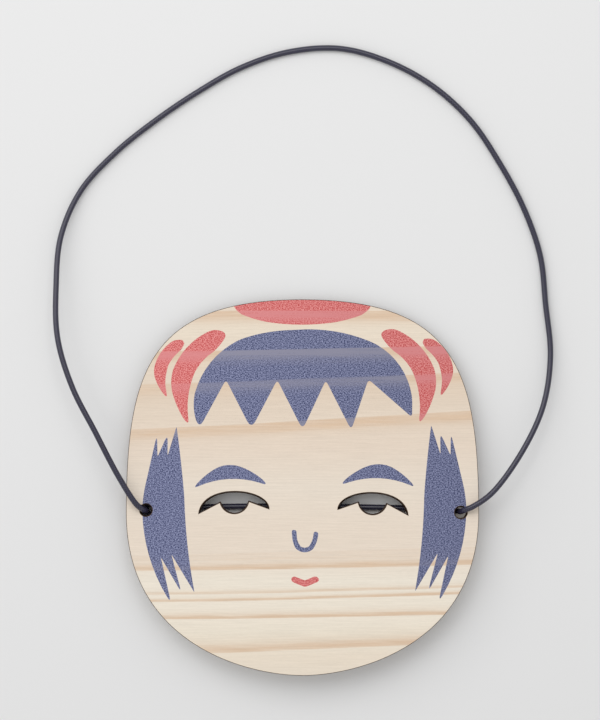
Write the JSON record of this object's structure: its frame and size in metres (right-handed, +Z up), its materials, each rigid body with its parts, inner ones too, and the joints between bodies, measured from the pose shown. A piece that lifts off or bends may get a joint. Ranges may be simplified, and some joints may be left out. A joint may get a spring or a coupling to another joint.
{
  "type": "flat wooden doll-face mask",
  "caption": "Flat wooden face mask printed as a kokeshi doll, with eye openings and a loop of elastic cord through its ear holes.",
  "frame": {"origin": "on the floor, under the middle of the board as it lies face up", "axes": "+X to the right of the face as seen, +Y from the chin to the crown, +Z up, out of the printed face"},
  "size_m": [0.2254, 0.2838, 0.0146],
  "materials": {
    "wood": "bare sanded pale softwood, face printed in navy and red, cut edges lightly scorched",
    "cord": "dark navy braided polyester over a rubber core, with a soft gleam"
  },
  "bodies": {
    "root": {"mask_board": "wood", "elastic_cord": "cord", "cord_knot": "cord"}
  },
  "joints": []
}
